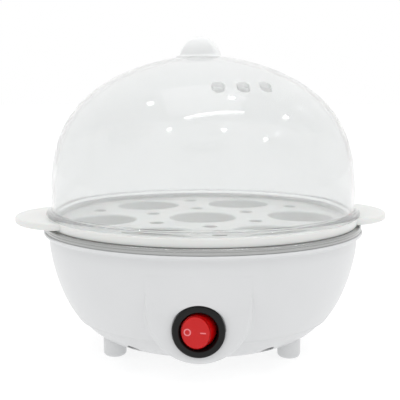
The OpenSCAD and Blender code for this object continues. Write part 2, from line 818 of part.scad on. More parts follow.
module lid() {
  color("#dfe6ea", 0.35) difference() {
    union() {
      rotate_extrude() polygon(concat(
        [[0, lid_flange_z - 1.5], [74.9, lid_flange_z - 1.5], [74.9, lid_flange_z]],
        arc(76.9, lid_flange_z + 0.8, 0.8, -90, 0, 4),
        arc(76.9, lid_flange_z + 1.4, 0.8, 0, 90, 4),
        [[lid_rad, lid_flange_z + 2.2]],
        dome(0)));
      handle_solid(0);
    }
    rotate_extrude() polygon(concat(
      [[0, lid_flange_z - 3], [lid_rad - lid_wall, lid_flange_z - 3]],
      dome(lid_wall)));
    handle_solid(1.8);
    for (i = [0 : 2]) rotate([0, 0, vent_first + vent_step * i - 90]) translate([vent_ring, 0, lid_z + 20])
      scale([vent_squash, 1, 1]) cylinder(d = vent_d, h = 80);
  }
}

base_housing();
bottom_cover();
cover_screws();
heating_dish();
dish_gasket();
dish_studs();
heater_plate();
heating_tube();
tube_terminals();
stud_nuts();
dish_clips();
clip_screws();
thermostat();
thermostat_bracket();
thermal_fuse();
fuse_sleeve();
fuse_clip();
plate_screws();
terminal_block();
terminal_screws();
cord_grommet();
cord_clamp();
clamp_screws();
switch_body();
switch_terminals();
rocker();
plunger();
plunger_spring();
contact_bridge();
indicator_lamp();
spade_connectors();
live_wire();
switched_wire();
lamp_wire();
fuse_wires();
neutral_wire();
egg_tray();
lid();
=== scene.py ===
# %% [markdown]
# # An egg cooker
# A round white housing holds a shallow steel dish that boils a little water. A tray of seven seats
# sits on the dish, and a clear dome keeps the steam in. The CAD model is loaded first as a fixed
# frame. It says where everything is, so each detailed piece below is drawn straight in its place.

import math

import bmesh
import bpy
from mathutils import Matrix, Vector


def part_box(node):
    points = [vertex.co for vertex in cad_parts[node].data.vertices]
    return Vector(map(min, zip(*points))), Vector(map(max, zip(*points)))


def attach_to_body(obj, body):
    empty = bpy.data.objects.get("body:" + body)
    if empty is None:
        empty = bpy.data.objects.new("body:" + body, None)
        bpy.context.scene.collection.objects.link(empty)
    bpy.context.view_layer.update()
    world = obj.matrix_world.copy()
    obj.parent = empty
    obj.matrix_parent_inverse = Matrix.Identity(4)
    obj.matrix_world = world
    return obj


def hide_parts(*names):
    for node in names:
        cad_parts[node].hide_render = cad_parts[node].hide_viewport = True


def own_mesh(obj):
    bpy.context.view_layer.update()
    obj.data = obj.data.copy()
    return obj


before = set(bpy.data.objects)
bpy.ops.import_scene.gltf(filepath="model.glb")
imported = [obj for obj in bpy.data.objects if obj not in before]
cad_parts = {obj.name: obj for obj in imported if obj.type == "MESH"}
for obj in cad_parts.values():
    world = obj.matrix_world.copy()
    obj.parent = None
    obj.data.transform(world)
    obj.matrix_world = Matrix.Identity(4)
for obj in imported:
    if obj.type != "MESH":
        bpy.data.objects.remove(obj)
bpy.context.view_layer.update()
MM = 0.001

# %% [markdown]
# ## Camera and studio
# The object stands on a white light table and is seen from a little above, with a long lens. A white
# sky gives the even base light of a light tent. A large softbox overhead lifts the faces that look
# up, and is kept out of the reflections. The small lamps are there only for their reflections: one
# bright strip and six spots on the dome.

# %% Camera
camera = bpy.data.objects.new("camera", bpy.data.cameras.new("camera"))
bpy.context.collection.objects.link(camera)
camera.data.sensor_width = 36
camera.data.lens = 76.95
camera.location = (0.0111, -0.4259, 0.1289)
camera.rotation_euler = (math.radians(82.5), 0, math.radians(1.7))
bpy.context.scene.camera = camera
bpy.context.scene.view_settings.view_transform = "Standard"


# %% Node and colour helpers
def linear(hex_colour):
    """The linear RGBA of an sRGB hex colour."""
    parts = [int(hex_colour[i : i + 2], 16) / 255 for i in (1, 3, 5)]
    return [c / 12.92 if c <= 0.04045 else ((c + 0.055) / 1.055) ** 2.4 for c in parts] + [1.0]


def add(tree, kind, links=None, **settings):
    """Adds a node with its settings; links gives inputs a value, or another node's output."""
    node = tree.nodes.new(kind)
    for name, value in settings.items():
        setattr(node, name, value)
    for name, value in (links or {}).items():
        if isinstance(value, bpy.types.NodeSocket):
            tree.links.new(value, node.inputs[name])
        else:
            node.inputs[name].default_value = value
    return node


# %% Softboxes and white sky
def softbox(name, place, aim, size, watts):
    """A new rectangular lamp that faces a point; places are in metres."""
    lamp = bpy.data.objects.new(name, bpy.data.lights.new(name, "AREA"))
    lamp.data.shape = "RECTANGLE"
    lamp.data.size, lamp.data.size_y = size
    lamp.data.energy = watts
    lamp.location = place
    lamp.rotation_euler = (Vector(place) - Vector(aim)).to_track_quat("Z", "Y").to_euler()
    bpy.context.collection.objects.link(lamp)
    return lamp


AIM = (0, 0, 0.1)
overhead = softbox("overhead_softbox", (0, 0.05, 1.25), AIM, (0.8, 0.8), 2.8)
overhead.visible_glossy = False
softbox("strip_light", (0.11, -0.28, 1.06), AIM, (0.62, 0.035), 0.7)
spots = [(0.23, 0.11, 1.09), (0.71, 0.09, 0.84), (0.25, -0.60, 0.93),
         (-0.44, 0.08, 1.02), (-0.36, -0.56, 0.91), (0.70, -0.47, 0.73)]
for number, place in enumerate(spots):
    softbox(f"ceiling_spot_{number}", place, AIM, (0.05, 0.05), 0.2)

sky = bpy.data.worlds.new("light_tent")
sky.use_nodes = True
sky.node_tree.nodes["Background"].inputs["Color"].default_value = linear("#ffffff")
sky.node_tree.nodes["Background"].inputs["Strength"].default_value = 1.0
bpy.context.scene.world = sky

# %% [markdown]
# ## Mesh helpers
# Most parts of a kettle-like appliance come from a round mould, so most pieces here are turned: an
# outline of radius and height goes once round an axis. The outlines are in millimetres, with real
# edge roundings, because a moulded edge always shows a thin line of light.


# %% Outlines and turned meshes
def arc(x, z, r, start, end, steps=8):
    """Points of an arc in an outline, from one angle to another in degrees."""
    angles = [math.radians(start + (end - start) * i / steps) for i in range(steps + 1)]
    return [(x + r * math.cos(a), z + r * math.sin(a)) for a in angles]


def turned(outline, steps=128, closed=True):
    """A bmesh turned round Z from an outline of (radius, height) in mm."""
    built = bmesh.new()
    rings = []
    for r, z in outline:
        count = steps if r > 1e-6 else 1
        turns = [2 * math.pi * i / steps for i in range(count)]
        rings.append([
            built.verts.new((r * math.cos(t) * MM, r * math.sin(t) * MM, z * MM)) for t in turns])
    following = rings[1:] + rings[:1] if closed else rings[1:]
    for low, high in zip(rings, following):
        for i in range(steps):
            j = (i + 1) % steps
            corners = [low[i % len(low)], low[j % len(low)],
                       high[j % len(high)], high[i % len(high)]]
            corners = list(dict.fromkeys(corners))
            if len(corners) > 2:
                built.faces.new(corners)
    bmesh.ops.recalc_face_normals(built, faces=built.faces)
    return built


def moved(built, matrix):
    """The bmesh after a matrix; places in the matrix are in metres."""
    bmesh.ops.transform(built, matrix=matrix, verts=built.verts)
    return built


def joined(*meshes):
    """One bmesh of several."""
    whole = bmesh.new()
    for part in meshes:
        scratch = bpy.data.meshes.new("scratch")
        part.to_mesh(scratch)
        part.free()
        whole.from_mesh(scratch)
        bpy.data.meshes.remove(scratch)
    return whole


def taken(obj):
    """The mesh of an object as a bmesh; the object is removed."""
    built = bmesh.new()
    built.from_mesh(obj.data)
    bpy.data.objects.remove(obj)
    return built


def shade(obj, sharp=32):
    """Smooth shading, except over edges sharper than the angle in degrees."""
    obj.data.shade_smooth()
    obj.data.set_sharp_from_angle(angle=math.radians(sharp))


def make(name, built, material, sharp=32):
    """A finished object from a bmesh."""
    mesh = bpy.data.meshes.new(name)
    built.to_mesh(mesh)
    built.free()
    mesh.materials.append(material)
    obj = bpy.data.objects.new(name, mesh)
    bpy.context.collection.objects.link(obj)
    shade(obj, sharp)
    return obj


def settled(obj, sharp=32):
    """The object with its modifiers made into plain mesh."""
    depsgraph = bpy.context.evaluated_depsgraph_get()
    mesh = bpy.data.meshes.new_from_object(obj.evaluated_get(depsgraph))
    obj.modifiers.clear()
    obj.data = mesh
    shade(obj, sharp)
    return obj


def carved(obj, tools, operation="DIFFERENCE", sharp=32):
    """The object cut by, or fused with, the tools, which are then removed."""
    for tool in tools:
        modifier = obj.modifiers.new("carve", "BOOLEAN")
        modifier.operation = operation
        modifier.solver = "EXACT"
        modifier.material_mode = "TRANSFER"
        modifier.object = tool
    settled(obj, sharp)
    for tool in tools:
        bpy.data.objects.remove(tool)
    return obj


def grown(obj, tree, values, sharp=32):
    """The object with a Geometry Nodes tree run on it; values are the tree's inputs by name."""
    modifier = obj.modifiers.new(tree.name, "NODES")
    modifier.node_group = tree
    for item in tree.interface.items_tree:
        if item.in_out == "INPUT" and item.name in values:
            modifier[item.identifier] = values[item.name]
    return settled(obj, sharp)


def around_z(degrees):
    """A turn about the upright axis."""
    return Matrix.Rotation(math.radians(degrees), 4, "Z")


def shifted(x=0, y=0, z=0):
    """A move in mm."""
    return Matrix.Translation((x * MM, y * MM, z * MM))


def attach(obj, body, slot, *nodes):
    """Lets a finished piece stand for CAD nodes and move with their body."""
    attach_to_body(obj, body)
    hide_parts(*nodes)
    faces = len(obj.data.polygons)
    print(f"{obj.name}: {faces} faces, rides on {body}, stands for {', '.join(nodes)}")


TO_FRONT = Matrix.Rotation(math.radians(90), 4, "X")
TO_BACK = Matrix.Rotation(math.radians(-90), 4, "X")

# %% [markdown]
# ## Finishes
# Each finish starts from the real material. Noise in real millimetres varies its colour and its
# gloss a little, and a fine bump gives the skin that a mould or a rolling mill leaves.


# %% Finish builder
def finish(name, colour, roughness, spread_mm=22, tint=0.03, grain_mm=0.5, grain_depth=0.02,
           **shader):
    """A material whose colour and gloss drift over spread_mm, on a skin with grains of grain_mm.

    shader holds further inputs of the shader, with _ for each space in their names."""
    material = bpy.data.materials.new(name)
    material.use_nodes = True
    tree = material.node_tree
    tree.nodes.clear()
    place = add(tree, "ShaderNodeTexCoord").outputs["Object"]
    drift = add(tree, "ShaderNodeTexNoise", {
        "Vector": place, "Scale": 1 / (spread_mm * MM), "Detail": 4.0})
    base = linear(colour)
    darker = [c * (1 - tint) for c in base[:3]] + [1.0]
    lighter = [min(c * (1 + tint), 1.0) for c in base[:3]] + [1.0]
    mix = add(tree, "ShaderNodeMix", {"Factor": drift.outputs["Fac"]}, data_type="RGBA")
    mix.inputs[6].default_value, mix.inputs[7].default_value = darker, lighter
    gloss = add(tree, "ShaderNodeMapRange", {"Value": drift.outputs["Fac"]})
    gloss.inputs["To Min"].default_value = roughness * 0.85
    gloss.inputs["To Max"].default_value = min(roughness * 1.15, 1.0)
    grain = add(tree, "ShaderNodeTexNoise", {
        "Vector": place, "Scale": 1 / (grain_mm * MM), "Detail": 2.0})
    bump = add(tree, "ShaderNodeBump", {"Height": grain.outputs["Fac"], "Strength": 0.35})
    bump.inputs["Distance"].default_value = grain_depth * MM
    surface = add(tree, "ShaderNodeBsdfPrincipled", {
        "Base Color": mix.outputs[2], "Roughness": gloss.outputs["Result"],
        "Normal": bump.outputs["Normal"]})
    for socket, value in shader.items():
        surface.inputs[socket.replace("_", " ")].default_value = value
    add(tree, "ShaderNodeOutputMaterial", {"Surface": surface.outputs["BSDF"]})
    return material


# %% Plastics
# Injection-moulded ABS: a cool white with a soft gloss, and a skin as fine as the polished mould's
white_abs = finish("white_abs", "#cecfd0", 0.32, IOR=1.54)
# Moulded polypropylene: a warmer, waxier white that scatters a little light inside
white_pp = finish("white_polypropylene", "#d7d8d6", 0.38, IOR=1.49,
                  Subsurface_Weight=0.08, Subsurface_Scale=0.002)
# Crystal polystyrene: clear and hard, and its moulded skin blurs what is behind it very slightly
clear_ps = finish("clear_polystyrene", "#f2f3f3", 0.05, tint=0.004, grain_depth=0.002,
                  IOR=1.45, Transmission_Weight=0.88)
# The same polystyrene where the mould is matt, on the handle and in the steam holes: milky
frosted_ps = finish("frosted_polystyrene", "#eaebeb", 0.45, tint=0.01,
                    IOR=1.45, Transmission_Weight=0.25)
# Black nylon: satin, with glass fibre that greys its highlights
black_nylon = finish("black_nylon", "#0b0c0c", 0.36, IOR=1.53, Specular_IOR_Level=0.22)
# Red polycarbonate: light runs inside the cap, so its edges glow
red_pc = finish("red_polycarbonate", "#cb090c", 0.22, IOR=1.585, Specular_IOR_Level=0.2,
                Subsurface_Weight=0.25, Subsurface_Scale=0.0015, Transmission_Weight=0.15)
# Pad-printed ink in the marks: matt and pale, with the red showing through
mark_ink = finish("mark_ink", "#e79aa0", 0.6)
# Moulded nylon of the screw block and the clamp: matt ivory
nylon = finish("nylon", "#d9d9d6", 0.5, IOR=1.53)
# Silicone rubber of the dish's seal: dull and soft to the eye
silicone = finish("silicone", "#bdbdb8", 0.6, IOR=1.41)
# Phenolic thermostat body: hard and dark, with a faint grain
phenolic = finish("phenolic", "#2f2b28", 0.45, tint=0.15, IOR=1.6)
# PVC of the leads: a smooth, even gloss
brown_pvc = finish("brown_pvc", "#6f3c22", 0.4)
red_pvc = finish("red_pvc", "#a82c2c", 0.4)
blue_pvc = finish("blue_pvc", "#32608f", 0.4)
# Woven glass sleeve and push-on sleeves: chalky and pale
glass_braid = finish("glass_braid", "#e9e2cf", 0.75, grain_mm=0.4, grain_depth=0.1)

# %% Metals
# Deep-drawn stainless steel, polished after the press: grey, with soft stretched reflections
stainless = finish("stainless_steel", "#a3a4a3", 0.24, tint=0.06, grain_mm=0.3, Metallic=1.0)
# Zinc-plated steel: bluish grey and a little cloudy
zinc = finish("zinc_plated_steel", "#9b9fa4", 0.38, tint=0.1, spread_mm=3, Metallic=1.0)
# Cast aluminium plate: pale and matt from its mould
aluminium = finish("cast_aluminium", "#b4b7b9", 0.5, tint=0.08, grain_depth=0.05, Metallic=1.0)
# Annealed steel sheath of the heating tube: dull grey with heat stains
sheath = finish("annealed_sheath", "#77736f", 0.48, tint=0.2, spread_mm=9, Metallic=1.0)
# Brass of the blades: yellow and slightly tarnished
brass = finish("brass", "#b8934f", 0.3, tint=0.12, spread_mm=4, Metallic=1.0)
# Neon lamp's glass: clear with a warm tint
neon = finish("neon_glass", "#f0c9a0", 0.05, IOR=1.5, Transmission_Weight=0.9)
print("materials made:", len(bpy.data.materials))

# %% [markdown]
# ## Floor
# The object stands on a light table: a white acrylic sheet that is lit from below, which keeps the
# shadows soft and pale. It reaches past the edge of every view.

# %% Floor
sheet = finish("white_acrylic", "#a8a8a8", 0.9, tint=0.002, grain_depth=0.0, Specular_IOR_Level=0.0,
               Emission_Color=(1.0, 1.0, 1.0, 1.0), Emission_Strength=0.7)
floor = make("floor", turned([(0, 0), (6000, 0)], 64, closed=False), sheet)
floor.data.transform(Matrix.Translation((0, 0, -0.0001)))

# %% [markdown]
# ## Housing
# The real housing is one ABS moulding: a bowl with a flared lip, and a boss that fades into the bowl
# and holds the switch. The bowl could be lathed and the boss fused to it, but a fused edge is sharp.
# The skin of the boss is therefore laid out row by row: seat, face, rounded edge, wall, and a fillet
# that ends on the bowl. The ribs and bosses inside are taken from a merged copy of the CAD piece.

# %% The bowl's rule
RIM_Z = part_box("base_housing")[1][2] / MM
RIM_R, BOWL_R, SEAM_Z = 79.0, 76.3, RIM_Z - 42.6
SHOULDER_Z, BOWL_DROP = RIM_Z - 6, 49.6
COVER_R, COVER_ARC, COVER_Z = 40.0, 26.1, 5.2


def bowl_radius(z):
    """Radius of the outer skin at a height: the cover's arc below the seam, the bowl's above."""
    if z < SEAM_Z:
        depth = COVER_Z + COVER_ARC - max(z, COVER_Z + 0.1)
        return COVER_R + math.sqrt(COVER_ARC**2 - depth**2)
    if z >= SHOULDER_Z:
        return BOWL_R
    return BOWL_R * (1 - ((SHOULDER_Z - z) / BOWL_DROP) ** 1.37) ** (1 / 5.64)


# %% Skin of a boss on the bowl
def boss_skin(outline, face, hole_z, seat_r, hole_r, edge, fillet, soft=0.8, rows=16):
    """The skin of a flat boss on the bowl's front.

    outline is a closed list of (x, z, outward x, outward z) in mm, and face is the distance of the
    flat from the axis. The seat round the hole is cut flat where the bowl stands in front of it.
    Each column of points runs from the hole to the bowl, towards one point of the outline."""

    def skin_y(x, z):
        return -math.sqrt(max(bowl_radius(z) ** 2 - x * x, 0))

    def front_y(x, z):
        bowl = -skin_y(x, z)
        return -0.5 * (face + bowl + math.sqrt((face - bowl) ** 2 + soft**2))

    columns = []
    for x0, z0, nx, nz in outline:
        bowl_y = skin_y(x0, z0)
        height = bowl_y + face
        e = min(edge, max(0.55 * height, 0))
        f = min(fillet, max(0.45 * height, 0)) * min(max((z0 - SEAM_Z) / 4, 0), 1)
        reach = math.hypot(x0, z0 - hole_z)
        ux, uz = x0 / reach, (z0 - hole_z) / reach
        sx, sz = ux * seat_r, hole_z + uz * seat_r
        lip_y = front_y(sx + 0.4 * ux, sz + 0.4 * uz)
        lip = min(0.4, max(-face - lip_y, 0.05))
        points = [
            (ux * hole_r, -face + 2, hole_z + uz * hole_r),
            (ux * hole_r, -face, hole_z + uz * hole_r),
            (sx, -face, sz),
            (sx, lip_y + lip, sz),
        ]
        for a in (math.radians(30), math.radians(60), math.radians(90)):
            out = lip * (1 - math.cos(a))
            points.append((sx + ux * out, lip_y + lip * (1 - math.sin(a)), sz + uz * out))
        start_x, start_z = sx + ux * lip, sz + uz * lip
        end_x, end_z = x0 - nx * e, z0 - nz * e
        for i in range(1, rows + 1):
            t = i / rows
            x, z = start_x + (end_x - start_x) * t, start_z + (end_z - start_z) * t
            points.append((x, front_y(x, z), z))
        face_y = points[-1][1]
        for a in (15, 30, 45, 60, 75, 90):
            d = -e + e * math.sin(math.radians(a))
            points.append((x0 + nx * d, face_y + e * (1 - math.cos(math.radians(a))), z0 + nz * d))
        foot_y = points[-1][1]
        for i in range(7):
            t = i / 6
            if z0 < SEAM_Z:
                points.append((x0, foot_y + (bowl_y + 2 - foot_y) * t, z0))
                continue
            d = 1.2 * f * t * t
            out_x, out_z = x0 + nx * 1.2 * f, z0 + nz * 1.2 * f
            end_y = skin_y(out_x, out_z) + 0.02
            y = (1 - t) ** 2 * (bowl_y - f) + 2 * t * (1 - t) * bowl_y + t * t * end_y
            points.append((x0 + nx * d, y, z0 + nz * d))
        columns.append(points)
    built = bmesh.new()
    grid = [[built.verts.new([v * MM for v in p]) for p in points] for points in columns]
    for left, right in zip(grid, grid[1:] + grid[:1]):
        for i in range(len(left) - 1):
            built.faces.new((left[i], right[i], right[i + 1], left[i + 1]))
    bmesh.ops.remove_doubles(built, verts=built.verts, dist=2e-6)
    built.normal_update()
    if sum(f.normal.y * f.calc_area() for f in built.faces) > 0:
        bmesh.ops.reverse_faces(built, faces=built.faces)
    return built


# %% Switch boss and cord boss
POD_R, POD_Z, POD_TOP, POD_FACE = 23.0, RIM_Z - 26.3, RIM_Z - 9.5, 70.5
SWITCH_Z, CORD_Z, INLET_FACE = RIM_Z - 34.1, RIM_Z - 32.5, 71.5


def pod_outline():
    """A U: straight sides that run up the bowl, a half circle below, and a line across the top."""
    sides = [POD_Z + (POD_TOP - POD_Z) * i / 24 for i in range(25)]
    left = [(-POD_R, z, -1, 0) for z in reversed(sides)]
    below = [(POD_R * math.cos(a), POD_Z + POD_R * math.sin(a), math.cos(a), math.sin(a))
             for a in (math.pi * (1 + i / 72) for i in range(1, 72))]
    right = [(POD_R, z, 1, 0) for z in sides]
    top = [(POD_R * (1 - i / 12), POD_TOP, 0, 1) for i in range(1, 24)]
    return left + below + right + top


def pod_distance(x, z):
    """Distance outside the U, negative inside."""
    if z < POD_Z:
        return math.hypot(x, z - POD_Z) - POD_R
    return max(abs(x) - POD_R, z - POD_TOP)


round_outline = [(9 * math.cos(a), CORD_Z + 9 * math.sin(a), math.cos(a), math.sin(a))
                 for a in (2 * math.pi * i / 72 for i in range(72))]
switch_boss = boss_skin(pod_outline(), POD_FACE, SWITCH_Z, 11.75, 10.1, edge=2.2, fillet=2.4)
cord_boss = boss_skin(round_outline, INLET_FACE, CORD_Z, 8.6, 6.0, edge=0.3, fillet=1.2,
                      soft=0.2, rows=2)
moved(cord_boss, around_z(180))

# %% Bowl, ribs and the finished housing
lip = 0.8
bowl_heights = [SEAM_Z + 0.5 + (RIM_Z - 2 * lip - 1.5 - SEAM_Z - 0.5) * i / 40 for i in range(41)]
bowl_outline = (
    [(bowl_radius(SEAM_Z) - 1.8, SEAM_Z)]
    + arc(bowl_radius(bowl_heights[0]) - 0.5, bowl_heights[0], 0.5, -90, -15, 4)
    + [(bowl_radius(z), z) for z in bowl_heights]
    + arc(BOWL_R + 1.5, RIM_Z - 2 * lip - 1.5, 1.5, 170, 90, 6)
    + arc(RIM_R - lip, RIM_Z - lip, lip, -90, 90, 10)
    + [(75.2, RIM_Z)]
)
bowl = turned(bowl_outline, 240, closed=False)
hidden = []
for face in bowl.faces:
    x, y, z = (v / MM for v in face.calc_center_median())
    behind_pod = y < 0 and pod_distance(x, z) < -1.2
    behind_cord = y > 0 and math.hypot(x, z - CORD_Z) < 7.8
    if behind_pod or behind_cord:
        hidden.append(face)
bmesh.ops.delete(bowl, geom=hidden, context="FACES")

ribs = bmesh.new()
ribs.from_mesh(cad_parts["base_housing"].data)
bmesh.ops.remove_doubles(ribs, verts=ribs.verts, dist=1e-6)
outer = []
for face in ribs.faces:
    x, y, z = (v / MM for v in face.calc_center_median())
    in_pod = y < -50 and pod_distance(x, z) < 0.2
    shell = not in_pod and math.hypot(x, y) > bowl_radius(z) - 0.9
    pod_shell = in_pod and (pod_distance(x, z) > -0.9 or y < -69.3)
    if shell or pod_shell or y > INLET_FACE - 0.2:
        outer.append(face)
bmesh.ops.delete(ribs, geom=outer, context="FACES")

housing = make("housing_moulding", joined(bowl, switch_boss, cord_boss, ribs), white_abs)
attach(housing, "base", "white_abs", "base_housing")

# %% [markdown]
# ## Bottom cover
# The real cover is a shallow dish of the same ABS, with three feet and four deep screw recesses. A
# turned shell gives the dish. The feet are alike, so Geometry Nodes repeat one foot round the axis,
# and the recesses are cut with plain cylinders afterwards, as core pins would leave them.


# %% Geometry Nodes that repeat a piece round the axis
def ring_of_copies():
    """A tree that turns copies of a piece, drawn in its first place, about the object's axis."""
    tree = bpy.data.node_groups.new("ring_of_copies", "GeometryNodeTree")
    for name, kind in (("Piece", "NodeSocketGeometry"), ("Count", "NodeSocketInt"),
                       ("First angle", "NodeSocketFloat"), ("Step angle", "NodeSocketFloat"),
                       ("Finish", "NodeSocketMaterial")):
        tree.interface.new_socket(name, in_out="INPUT", socket_type=kind)
    tree.interface.new_socket("Copies", in_out="OUTPUT", socket_type="NodeSocketGeometry")
    given = add(tree, "NodeGroupInput").outputs
    spots = add(tree, "GeometryNodePoints", {"Count": given["Count"]})
    index = add(tree, "GeometryNodeInputIndex")
    turn = add(tree, "ShaderNodeMath", operation="MULTIPLY_ADD")
    factors = (index.outputs["Index"], given["Step angle"], given["First angle"])
    for socket, source in zip(turn.inputs, factors):
        tree.links.new(source, socket)
    about_z = add(tree, "ShaderNodeCombineXYZ", {"Z": turn.outputs["Value"]})
    copies = add(tree, "GeometryNodeInstanceOnPoints", {
        "Points": spots.outputs["Points"], "Instance": given["Piece"],
        "Rotation": about_z.outputs["Vector"]})
    real = add(tree, "GeometryNodeRealizeInstances", {"Geometry": copies.outputs["Instances"]})
    coated = add(tree, "GeometryNodeSetMaterial", {
        "Geometry": real.outputs["Geometry"], "Material": given["Finish"]})
    add(tree, "NodeGroupOutput", {"Copies": coated.outputs["Geometry"]})
    return tree


RING = ring_of_copies()


def repeated(built, material, count, first, step):
    """A bmesh of copies of a bmesh, turned about the axis; angles are in degrees."""
    return taken(grown(make("scratch", built, material), RING, {
        "Count": count, "First angle": math.radians(first), "Step angle": math.radians(step),
        "Finish": material}))


# %% Cover shell
WALL, SEAM_GAP = 2.2, 0.2
cover_arc_z = COVER_Z + COVER_ARC
cover_top = SEAM_Z - SEAM_GAP


def cover_end(inset):
    """The angle in degrees where the cover's arc, moved in by inset, meets the seam."""
    return math.degrees(math.asin((cover_top - cover_arc_z) / (COVER_ARC - inset)))


cover_outline = (
    [(0, COVER_Z)]
    + arc(COVER_R, cover_arc_z, COVER_ARC, -90, cover_end(0), 28)
    + arc(COVER_R, cover_arc_z, COVER_ARC - WALL, cover_end(WALL), -90, 28)
    + [(0, COVER_Z + WALL)]
)

# %% Feet, screw posts and recesses
FOOT_RING, BOSS_RING, BOSS_ANGLES = 48.6, 53.0, (45, 135, 235, 305)
RECESS_R, BORE_R, POST_R, HEAD_Z, POST_Z = 3.5, 1.7, 5.0, 13.9, 6.4
foot = turned([(0, 0.0)] + arc(3.5, 2.0, 2.0, -90, 0, 10) + [(5.5, 10.0), (0, 10.0)], 64)
feet = repeated(moved(foot, shifted(FOOT_RING)), white_abs, 3, -30, 120)


def at_bosses(outline):
    """A turned shape at each of the four screw bosses."""
    return [moved(turned(outline, 48), around_z(a) @ shifted(BOSS_RING)) for a in BOSS_ANGLES]


posts = joined(*at_bosses([(BORE_R, HEAD_Z), (RECESS_R, HEAD_Z), (RECESS_R, POST_Z),
                           (POST_R, POST_Z), (POST_R, SEAM_Z), (BORE_R, SEAM_Z)]))
INSET = 0.3
inside_arc = arc(COVER_R, cover_arc_z, COVER_ARC - INSET, -90, cover_end(0), 28)
inside = turned([(0, COVER_Z + INSET)] + inside_arc + [(0, SEAM_Z)], 96)
trimmed = carved(make("posts", posts, white_abs), [make("scratch", inside, white_abs)], "INTERSECT")

recesses = at_bosses([(0, -5), (RECESS_R, -5), (RECESS_R, 12), (0, 12)])
room_r = POD_R + 0.3
pod_room = moved(turned([(0, 40), (room_r, 40), (room_r, 95), (0, 95)], 128),
                 shifted(z=POD_Z) @ TO_FRONT)
cutters = [make("scratch", cutter, white_abs) for cutter in recesses + [pod_room]]
shell = carved(make("cover_shell", turned(cover_outline, 200), white_abs), cutters)
bottom = make("bottom_cover_moulding", joined(taken(shell), feet, taken(trimmed)), white_abs)
attach(bottom, "base", "white_abs", "bottom_cover")

# %% [markdown]
# ## Boiling dish
# The dish is pressed from one round sheet. Its edge is rolled down to the housing's lip in a narrow
# band with a fine groove, which is the grey line round the rim. A turned outline follows the sheet
# on both sides.

# %% Dish
FLOOR_Z, SHEET, FLANGE_Z, BAND_R = 40.0, 0.8, RIM_Z + 3, 78.3


def dish_side(t):
    """The dish's outline from the centre to the flange, moved out by t."""
    return (
        [(0, FLOOR_Z - t)]
        + arc(54, FLOOR_Z + 12, 12 + t, -90, -25, 18)
        + [(70.3 + t, RIM_Z - 1)]
        + arc(72.8, FLANGE_Z - 2.5, 2.5 - t, 155, 90, 8)
    )


GROOVE_R = BAND_R - 0.12
band = (
    arc(BAND_R - 0.9, FLANGE_Z - 0.9, 0.9, 90, 0, 8)
    + [(BAND_R, RIM_Z + 1.7), (GROOVE_R, RIM_Z + 1.55)]
    + [(GROOVE_R, RIM_Z + 1.4), (BAND_R, RIM_Z + 1.25)]
    + arc(BAND_R - 0.35, RIM_Z + 0.35, 0.35, 0, -90, 5)
    + [(76.6, RIM_Z + 0.1), (76.6, FLANGE_Z - SHEET)]
)
dish = make("boiling_dish", turned(dish_side(0) + band + dish_side(SHEET)[::-1], 240), stainless)
attach(dish, "base", "stainless_steel", "heating_dish")

# %% [markdown]
# ## Cord grommet
# The grommet at the back is a stepped ring of soft plastic. It is turned about the cord's axis, with
# rounded edges on the flange that shows.

# %% Grommet
grommet_outline = (
    [(3.5, 61), (7.0, 61), (7.0, 63), (5.9, 63), (5.9, INLET_FACE), (8.2, INLET_FACE)]
    + arc(7.4, 73.2, 0.8, 0, 90, 6)
    + arc(4.3, 73.2, 0.8, 90, 180, 6)
)
grommet_mesh = moved(turned(grommet_outline, 96), shifted(z=CORD_Z) @ TO_BACK)
grommet = make("cord_grommet_ring", grommet_mesh, nylon)
attach(grommet, "base", "white_abs", "cord_grommet")

# %% [markdown]
# ## Switch
# A round rocker switch snaps into the boss: a black bezel with a soft edge, and inside it a red cap
# that leans on two pins. The cap is turned, and its two marks are sunk as the mould sinks them. The
# bodies that cut them carry the ink, so the sunk faces take its colour.

# %% Bezel and switch case
BEZEL_FRONT, CASE_BACK, WELL_R = POD_FACE + 2.2, 52.0, 8.2
case_outline = (
    [(0, CASE_BACK), (9.8, CASE_BACK), (9.8, POD_FACE), (11.5, POD_FACE)]
    + arc(10.5, BEZEL_FRONT - 1, 1.0, 0, 90, 8)
    + arc(9.0, BEZEL_FRONT - 0.4, 0.4, 90, 150, 4)
    + [(WELL_R, BEZEL_FRONT - 1.4), (WELL_R, CASE_BACK + 2), (0, CASE_BACK + 2)]
)
case_mesh = moved(turned(case_outline, 128), shifted(z=SWITCH_Z) @ TO_FRONT)
case = make("switch_case", case_mesh, black_nylon)
attach(case, "base", "black_nylon", "switch_body")

# %% Rocker cap with its marks
PIVOT, CAP, OFF_LEAN = POD_FACE - 4.2, 7.0, -11
FACE_W, FACE_H, SKIRT = 6.3, 7.0, 7.9
AT_PIVOT = shifted(0, -PIVOT, SWITCH_Z) @ around_z(OFF_LEAN)
cap_outline = (
    [(0, CAP)]
    + arc(FACE_H - 0.35, CAP - 0.25, 0.25, 90, 0, 5)
    + [(FACE_H - 0.1, CAP - 1.1), (FACE_H + 0.2, CAP - 1.1)]
    + [(FACE_H + 0.35 + (SKIRT - FACE_H - 0.35) * k / 6, CAP - 0.7 + (2.2 - CAP) * k / 6)
       for k in range(7)]
    + [(SKIRT, -1.5), (6.4, -1.5), (6.4, 2.5), (5.0, CAP - 1.6), (0, CAP - 1.6)]
)


def ovalled(built):
    """The cap after its face is narrowed to an oval; the skirt below stays round."""
    for vert in built.verts:
        share = min(max((vert.co.z / MM - 1.6) / (CAP - 2.1), 0), 1)
        vert.co.x *= 1 - share * (1 - FACE_W / FACE_H)
    return built


